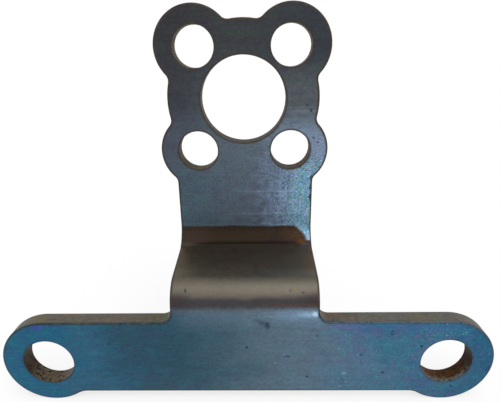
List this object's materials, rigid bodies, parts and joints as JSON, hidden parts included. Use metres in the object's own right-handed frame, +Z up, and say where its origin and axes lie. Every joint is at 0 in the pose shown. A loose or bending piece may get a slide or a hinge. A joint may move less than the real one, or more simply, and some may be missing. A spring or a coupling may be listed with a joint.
{
  "type": "speedometer bracket",
  "caption": "Joggled steel plate bracket: a bored instrument head set back on a wide neck above a straight mounting bar with an eye at each end.",
  "frame": {"origin": "midway between the bar's two bolt holes, on the bar's rear face, which seats on what carries the bracket", "axes": "+X along the bar, +Y from the front of the plate to its back, +Z up from the bar to the instrument head"},
  "size_m": [0.1396, 0.03, 0.1089],
  "materials": {
    "bare_steel": "hot rolled mill scale, unpainted"
  },
  "bodies": {
    "root": {"bracket": "bare_steel"}
  },
  "joints": []
}
